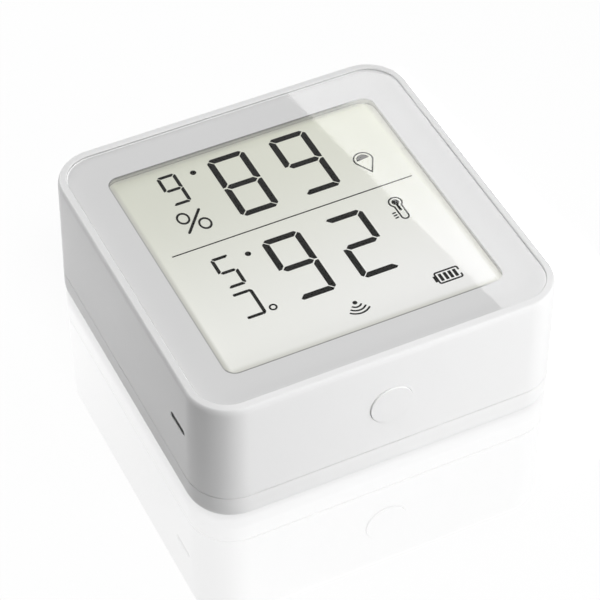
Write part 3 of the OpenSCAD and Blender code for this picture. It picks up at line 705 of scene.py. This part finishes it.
def arc(bm, centre, radius, stroke, start, sweep, squeeze=1.0, steps=24):
    """Curved stroke about a centre, from an angle over a sweep in degrees; squeeze narrows it
    sideways."""
    known = set(bm.verts)
    ends = [bm.verts.new((radius + side * stroke / 2, 0, 0)) for side in (-1, 1)]
    edge = bm.edges.new(ends)
    turned_about(bm, "Z", math.radians(start), ends)
    bmesh.ops.spin(bm, geom=ends + [edge], cent=(0, 0, 0), axis=(0, 0, 1), dvec=(0, 0, 0),
                   angle=math.radians(sweep), steps=steps, use_merge=abs(sweep) >= 360,
                   use_duplicate=False)
    made = [v for v in bm.verts if v not in known]
    bmesh.ops.scale(bm, vec=(squeeze, 1, 1), verts=made)
    bmesh.ops.translate(bm, vec=(*centre, 0), verts=made)


def dot(bm, centre, radius):
    """Filled disc."""
    bmesh.ops.create_circle(bm, cap_ends=True, segments=DOT_STEPS, radius=radius,
                            matrix=Matrix.Translation((*centre, 0)))


# Bars of a digit by the digit that they light: a top, then clockwise, g in the middle
LIT = {"2": "abged", "5": "afgcd", "6": "afgedc", "8": "abcdefg"}
# In strokes: cuts of a bar's inner and outer corner at the digit's corners and at its middle, the
# slant at the middle, the upright bars' gap there, and the middle bar's own cut and gap
AT_CORNER, AT_MIDDLE, SLANT, UPRIGHT_GAP = (0.68, 0.3), (0.5, 0.06), 0.12, 0.13
MIDDLE_CUT, MIDDLE_GAP = 0.47, 0.2


def digit(bm, shown, left, right, top, bottom, stroke, end_gap):
    """Seven-bar digit in a cell; end_gap is how far a bar's end stays from the cell's corner. Each
    bar runs clockwise, with the outside of the digit on its left."""
    half = stroke / 2
    middle = (top + bottom) / 2
    near = UPRIGHT_GAP * stroke
    inner = end_gap + MIDDLE_GAP * stroke
    x0, x1 = left + half, right - half
    y0, y1 = bottom + half, top - half
    whole = (*AT_CORNER, *reversed(AT_CORNER))
    upper, lower = (*AT_CORNER, *reversed(AT_MIDDLE)), (*AT_MIDDLE, *reversed(AT_CORNER))
    bars = {
        "a": ((left + end_gap, y1), (right - end_gap, y1), stroke, whole),
        "b": ((x1, top - end_gap), (x1, middle + near), stroke, upper, (0, SLANT)),
        "c": ((x1, middle - near), (x1, bottom + end_gap), stroke, lower, (SLANT, 0)),
        "d": ((right - end_gap, y0), (left + end_gap, y0), stroke, whole),
        "e": ((x0, bottom + end_gap), (x0, middle - near), stroke, upper, (0, SLANT)),
        "f": ((x0, middle + near), (x0, top - end_gap), stroke, lower, (SLANT, 0)),
        "g": ((left + inner, middle), (right - inner, middle), stroke, MIDDLE_CUT),
    }
    for name in LIT[shown]:
        bar(bm, *bars[name])


# Figures: the digit, left, right, top and bottom of its cell, stroke and end gap
LARGE, SMALL = (1.04, 0.46), (0.55, 0.28)
FIGURES = (
    ("2", -10.42, -3.95, 12.87, -0.92, *LARGE),
    ("6", 0.27, 6.68, 12.87, -0.92, *LARGE),
    ("5", 12.02, 15.18, 6.03, -0.8, *SMALL),
    ("6", -10.45, -4.0, -7.0, -20.9, *LARGE),
    ("8", 0.25, 6.7, -7.0, -20.85, *LARGE),
    ("6", 12.1, 15.28, -13.7, -20.63, *SMALL),
)
# centre and radius of the points between the figures
POINTS = (((9.33, 0.5), 0.48), ((9.42, -19.37), 0.5))


def readings():
    """The two rows of figures with their units, and the line between them."""
    line_left, line_right, line_stroke = (-21.03, -3.97), (19.92, -3.8), 0.2
    bm = bmesh.new()
    for figure in FIGURES:
        digit(bm, *figure)
    for centre, radius in POINTS:
        dot(bm, centre, radius)
    bar(bm, line_left, line_right, line_stroke)
    degree_unit(bm)
    percent_unit(bm)
    return bm


def degree_unit(bm):
    """Small ring and the letter of the degree unit, which has round outer corners."""
    ring_at, ring_r, ring_stroke = (10.73, 12.2), 0.52, 0.29
    left, right, top, bottom, stroke, bend, cut = 12.24, 15.1, 12.62, 7.53, 0.53, 0.36, 0.25
    arc(bm, ring_at, ring_r, ring_stroke, 0, 360)
    bar(bm, (left, top - bend), (left, bottom + bend), stroke)
    for level, corner, start in ((top, top - bend, 90), (bottom, bottom + bend, 180)):
        bar(bm, (left + bend, level), (right, level), stroke, cut)
        arc(bm, (left + bend, corner), bend, stroke, start, 90, steps=8)


def percent_unit(bm):
    """Two narrow rings and the stroke between them."""
    ring_r, ring_stroke, narrow = 1.13, 0.4, 0.8
    low, high, stroke, cut = (11.87, -11.75), (15.58, -7.25), 0.45, 0.4
    for centre in ((12.37, -8.33), (15.05, -10.67)):
        arc(bm, centre, ring_r, ring_stroke, 0, 360, squeeze=narrow)
    bar(bm, low, high, stroke, cut)


def battery_sign(bm):
    """Frame with round corners, a gap in its left end, a contact on its right and four levels."""
    left, right, top, bottom, stroke, bend = -17.75, -13.92, 18.75, 16.45, 0.28, 0.3
    gap_top, gap_bottom, gap_cut = 18.02, 17.22, 0.2
    contact_x, contact_top, contact_bottom, contact_stroke = -13.6, 18.25, 17.0, 0.36
    level_top, level_bottom, level_stroke, level_cut = 18.36, 16.84, 0.5, 0.12
    for y in (top, bottom):
        bar(bm, (left + bend, y), (right - bend, y), stroke)
    bar(bm, (right, top - bend), (right, bottom + bend), stroke)
    bar(bm, (left, top - bend), (left, gap_top), stroke, gap_cut)
    bar(bm, (left, gap_bottom), (left, bottom + bend), stroke, gap_cut)
    for x, y, start in ((left + bend, top - bend, 90), (left + bend, bottom + bend, 180),
                        (right - bend, bottom + bend, 270), (right - bend, top - bend, 0)):
        arc(bm, (x, y), bend, stroke, start, 90, steps=6)
    bar(bm, (contact_x, contact_top), (contact_x, contact_bottom), contact_stroke)
    for x in (-17.03, -16.23, -15.43, -14.6):
        bar(bm, (x, level_top), (x, level_bottom), level_stroke, level_cut)


def wireless_sign(bm):
    """Point with three waves above it, each a radius and half its sweep."""
    centre, point_r, stroke = (-0.57, 16.67), 0.37, 0.28
    dot(bm, centre, point_r)
    for radius, spread in ((0.95, 56), (1.65, 50), (2.3, 46)):
        arc(bm, centre, radius, stroke, 90 - spread, 2 * spread)


def thermometer_sign(bm):
    """Tube with a round top on a bulb, a filled column and three ticks."""
    x, top, bulb_y, tube, bulb, stroke, cut = -15.93, 3.5, 0.2, 0.6, 1.04, 0.25, 0.3
    fill_r, column_top, column_bottom, column_stroke = 0.6, 2.2, 0.7, 0.42
    tick_left, tick_right, tick_rise = -14.95, -14.28, 0.05
    open_half = math.degrees(math.asin(tube / bulb))
    foot = bulb_y + math.sqrt(bulb * bulb - tube * tube)
    for wall in (x - tube, x + tube):
        bar(bm, (wall, top), (wall, foot), stroke)
    arc(bm, (x, top), tube, stroke, 0, 180)
    arc(bm, (x, bulb_y), bulb, stroke, 90 + open_half, 360 - 2 * open_half)
    dot(bm, (x, bulb_y), fill_r)
    bar(bm, (x, column_top), (x, column_bottom), column_stroke, cut)
    for y in (3.38, 2.83, 2.28):
        bar(bm, (tick_left, y - tick_rise), (tick_right, y + tick_rise), stroke, cut)


DROPLET, DROPLET_R, WATER_R, WATER_TILT = (-15.88, -10.6), 1.52, 1.08, 7


def droplet_sign(bm):
    """Round lower part, and two straight sides that meet in a tip."""
    stroke, cut, right_end, left_end, tip_y, tip_half = 0.23, 0.2, 35, 145, -7.35, 0.06
    arc(bm, DROPLET, DROPLET_R, stroke, left_end, 360 + right_end - left_end)
    for angle, tip_x in ((left_end, tip_half), (right_end, -tip_half)):
        turn = math.radians(angle)
        foot = Vector(DROPLET) + DROPLET_R * Vector((math.cos(turn), math.sin(turn)))
        bar(bm, foot, (DROPLET[0] + tip_x, tip_y), stroke, cut)


def icons():
    """Battery, wireless, thermometer and droplet signs."""
    bm = bmesh.new()
    for sign in (battery_sign, wireless_sign, thermometer_sign, droplet_sign):
        sign(bm)
    return bm


def droplet_fill():
    """Water in the droplet: a half disc, a little higher to the right."""
    bm = bmesh.new()
    arc(bm, DROPLET, WATER_R / 2, WATER_R, 180 + WATER_TILT, 180)
    return bm


def display_mark(name, bm, finish_name):
    """Gives flat marks the ink's thickness and lays them on the film, turned to the display's
    reading side."""
    bmesh.ops.remove_doubles(bm, verts=bm.verts, dist=MERGE)
    raised = bmesh.ops.extrude_face_region(bm, geom=bm.faces[:])["geom"]
    moved_on(bm, raised, (0, 0, INK))
    turned_about(bm, "Z", math.pi, bm.verts)
    bmesh.ops.translate(bm, vec=(*MARKS_AT, FILM_TOP), verts=bm.verts)
    piece(name, bm, "unit", [finish_name])


# Button and cells

def button():
    bm = bmesh.new()
    profile = [(0, BUTTON_FACE), (BUTTON_R, BUTTON_FACE), (BUTTON_R, FLANGE_FRONT),
               (FLANGE_R, FLANGE_FRONT), (FLANGE_R, FLANGE_BACK), (POST_R, FLANGE_BACK),
               (POST_R, POST_END), (0, POST_END)]
    turned(bm, profile, (0, 0, BUTTON_Z), (0, 1, 0))

    def face_edge(p):
        from_edge = math.hypot(p.x, p.z - BUTTON_Z) - BUTTON_R
        return abs(from_edge) < NEAR and abs(p.y - BUTTON_FACE) < NEAR

    soften(bm, face_edge, BUTTON_ROUND, steps=4)
    piece("push_button", bm, "button", ["white_plastic"], ["button_cap"])


def cell(name, base_x, y, way):
    """Cell with a crimped jacket, a raised contact and an insulating ring."""
    bm = bmesh.new()
    shoulder = CELL_LENGTH - NUB_HEIGHT
    base_r, base_edge_r, base_sunk, base_round = 3.6, 3.8, 0.12, 0.4
    crimp_in, crimp_down, mouth_r = 0.45, 0.5, 4.1
    outer_r, inner_r, sunk, foot_r, foot_drop = 3.9, 2.6, 0.25, 2.3, 0.05
    base = [(0, base_sunk), (base_r, base_sunk), (base_edge_r, 0), (CELL_R - base_round, 0)]
    jacket = [(CELL_R, base_round), (CELL_R, CELL_BAND), (CELL_R, shoulder - crimp_down),
              (CELL_R - crimp_in, shoulder), (mouth_r, shoulder)]
    sunk_ring = [(outer_r, shoulder - sunk), (inner_r, shoulder - sunk),
                 (foot_r, shoulder - foot_drop)]
    contact = [(NUB_R, shoulder), (NUB_R, CELL_LENGTH - NUB_ROUND),
               (NUB_R - NUB_ROUND, CELL_LENGTH), (0, CELL_LENGTH)]
    turned(bm, base + jacket + sunk_ring + contact, (base_x, y, CELL_Z), (way, 0, 0))
    for face in bm.faces:
        at = face.calc_center_median()
        along, out = (at.x - base_x) * way, math.hypot(at.y - y, at.z - CELL_Z)
        if out < (BASE_R if along < CELL_LENGTH / 2 else NUB_FOOT_R):
            face.material_index = 1
        elif out < RING_R:
            face.material_index = 2
        elif along > CELL_BAND:
            face.material_index = 3
    finishes = ["cell_jacket", "tinned_sheet", "ivory_plastic", "cell_band"]
    piece(name + "_jacket", bm, "unit", finishes, [name], crisp=50)


front_housing()
slot_shade_plug()
rear_cover()
lens()
printed_border()
display_film()
display_mark("display_readings", readings(), "display_ink")
display_mark("display_icons", icons(), "display_ink")
display_mark("display_droplet_fill", droplet_fill(), "display_grey")
button()
for cell_name, place in CELLS.items():
    cell(cell_name, *place)
for row in frame["record"]["subparts"]:
    node = frame["nodes"][row["node"]]
    node.data.materials.clear()
    node.data.materials.append(MATERIALS[row["material_slot"]])


# Camera, fitted to the photo: angles in degrees, distance and shifts in millimetres

CAMERA_AZIMUTH, CAMERA_ELEVATION, CAMERA_ROLL = -26.3899, 46.0878, 0.4235
CAMERA_AWAY, CAMERA_RIGHT, CAMERA_UP = 401.2409, -0.1895, 5.2744
CAMERA_LENS, CAMERA_SENSOR = 151.832, 36.0


def direction(azimuth, elevation):
    """Way from the object at an azimuth, which turns from the button wall towards +X, and an
    elevation, in degrees."""
    a, e = math.radians(azimuth), math.radians(elevation)
    return Vector((math.sin(a) * math.cos(e), -math.cos(a) * math.cos(e), math.sin(e)))


def camera():
    azimuth, roll = math.radians(CAMERA_AZIMUTH), math.radians(CAMERA_ROLL)
    away = direction(CAMERA_AZIMUTH, CAMERA_ELEVATION)
    level = Vector((math.cos(azimuth), math.sin(azimuth), 0))
    upright = away.cross(level)
    right = level * math.cos(roll) + upright * math.sin(roll)
    up = -level * math.sin(roll) + upright * math.cos(roll)
    data = bpy.data.cameras.new("photo_view")
    data.lens, data.sensor_width = CAMERA_LENS, CAMERA_SENSOR
    data.clip_start, data.clip_end = 0.01, 20.0
    made = bpy.data.objects.new("photo_view", data)
    scene.collection.objects.link(made)
    place = Matrix((right, up, away)).transposed().to_4x4()
    place.translation = (away * CAMERA_AWAY + right * CAMERA_RIGHT + up * CAMERA_UP) * MM
    made.matrix_world = place
    scene.camera = made


# Floor and light, in metres. A brightness of 1 is white.

ROOM_LEVEL = 0.02
FLOOR_HALF, FLOOR_DROP = 6.0, 0.0001
# the floor's tone as the object's light finds it, its tone and glow as it is seen, and the
# roughness and share of its mirror image
FLOOR_TONE, SHADOW_TONE, FLOOR_WHITE, MIRROR_ROUGH, MIRROR_SHARE = 0.8, 0.08, 0.99, 0.02, 0.25
# azimuth and elevation, brightness, width, height and distance, and whether the lens mirrors it
LAMPS = {
    "key_light": (54, 8, 12.2, 0.24, 0.16, 0.6, False),
    "front_light": (20, 8, 3.35, 0.06, 0.06, 0.15, False),
    "back_light": (212, 30, 4.5, 0.118, 0.118, 0.25, True),
    "top_light": (5, 70, 10.1, 0.13, 0.13, 0.3, True),
}
# panel whose edge shows as the bright band across the lens
BAND_AT, BAND_TURN = (0.1908, 0.2573, 0.3), 7.73
BAND_WIDTH, BAND_HEIGHT, BAND_LEVEL = 0.07, 0.18, 6.0


def soft_light(name, at, turn, width, height, level, mirrored=True):
    """Rectangular lamp whose face has a plain brightness."""
    data = bpy.data.lights.new(name, "AREA")
    data.shape, data.size, data.size_y = "RECTANGLE", width, height
    data.energy = level * math.pi * width * height
    made = bpy.data.objects.new(name, data)
    made.matrix_world = Matrix.Translation(at) @ turn.to_4x4()
    made.visible_camera = False
    made.visible_glossy = made.visible_transmission = mirrored
    scene.collection.objects.link(made)


def aimed_light(name, azimuth, elevation, level, width, height, distance, mirrored):
    """Lamp aimed at the middle of the object."""
    way = direction(azimuth, elevation)
    at = way * distance + Vector((0, 0, TOP / 2 * MM))
    turn = way.to_track_quat("Z", "Y").to_matrix()
    soft_light(name, at, turn, width, height, level, mirrored)


def seen_directly(nodes, link):
    """1 for rays that show the background: camera, mirror and glass rays."""
    path = nodes.new("ShaderNodeLightPath")
    total = nodes.new("ShaderNodeMath")
    total.operation = "ADD"
    clear = nodes.new("ShaderNodeMath")
    clear.operation = "ADD"
    clear.use_clamp = True
    link(path.outputs["Is Camera Ray"], total.inputs[0])
    link(path.outputs["Is Glossy Ray"], total.inputs[1])
    link(total.outputs[0], clear.inputs[0])
    link(path.outputs["Is Transmission Ray"], clear.inputs[1])
    return clear.outputs[0]


def lit_or_seen(nodes, link, lit, seen, output):
    """Joins what lights the object and what is seen directly, and puts it out."""
    both = nodes.new("ShaderNodeMixShader")
    link(seen_directly(nodes, link), both.inputs["Fac"])
    link(lit.outputs[0], both.inputs[1])
    link(seen.outputs[0], both.inputs[2])
    link(both.outputs[0], nodes[output].inputs["Surface"])


def white_room(level):
    """World that lights the object softly and shows as white."""
    world = bpy.data.worlds.new("white_room")
    scene.world = world
    world.use_nodes = True
    nodes, link = world.node_tree.nodes, world.node_tree.links.new
    glow = nodes["Background"]
    glow.inputs["Color"].default_value = (1, 1, 1, 1)
    glow.inputs["Strength"].default_value = level
    white = nodes.new("ShaderNodeBackground")
    white.inputs["Color"].default_value = (1, 1, 1, 1)
    lit_or_seen(nodes, link, glow, white, "World Output")


def white_floor():
    """Polished white floor: it shows as white, with a faint mirror image and a soft shadow."""
    bm = bmesh.new()
    bmesh.ops.create_grid(bm, x_segments=1, y_segments=1, size=FLOOR_HALF)
    mesh = bpy.data.meshes.new("floor")
    bm.to_mesh(mesh)
    bm.free()
    floor = bpy.data.objects.new("floor", mesh)
    floor.location.z = -FLOOR_DROP
    scene.collection.objects.link(floor)
    material = bpy.data.materials.new("polished_floor")
    material.use_nodes = True
    nodes, link = material.node_tree.nodes, material.node_tree.links.new
    nodes.remove(nodes["Principled BSDF"])
    lit = nodes.new("ShaderNodeBsdfDiffuse")
    lit.inputs["Color"].default_value = shaded((1, 1, 1), FLOOR_TONE)
    shadow = nodes.new("ShaderNodeBsdfDiffuse")
    shadow.inputs["Color"].default_value = shaded((1, 1, 1), SHADOW_TONE)
    white = nodes.new("ShaderNodeEmission")
    white.inputs["Strength"].default_value = FLOOR_WHITE
    seen = nodes.new("ShaderNodeAddShader")
    link(shadow.outputs[0], seen.inputs[0])
    link(white.outputs[0], seen.inputs[1])
    mirror = nodes.new("ShaderNodeBsdfAnisotropic")
    mirror.inputs["Roughness"].default_value = MIRROR_ROUGH
    polished = nodes.new("ShaderNodeMixShader")
    polished.inputs["Fac"].default_value = MIRROR_SHARE
    link(seen.outputs[0], polished.inputs[1])
    link(mirror.outputs[0], polished.inputs[2])
    lit_or_seen(nodes, link, lit, polished, "Material Output")
    mesh.materials.append(material)


camera()
white_room(ROOM_LEVEL)
white_floor()
for lamp_name, lamp in LAMPS.items():
    aimed_light(lamp_name, *lamp)
soft_light("band_light", BAND_AT, Matrix.Rotation(math.radians(BAND_TURN), 3, "Z"), BAND_WIDTH,
           BAND_HEIGHT, BAND_LEVEL)
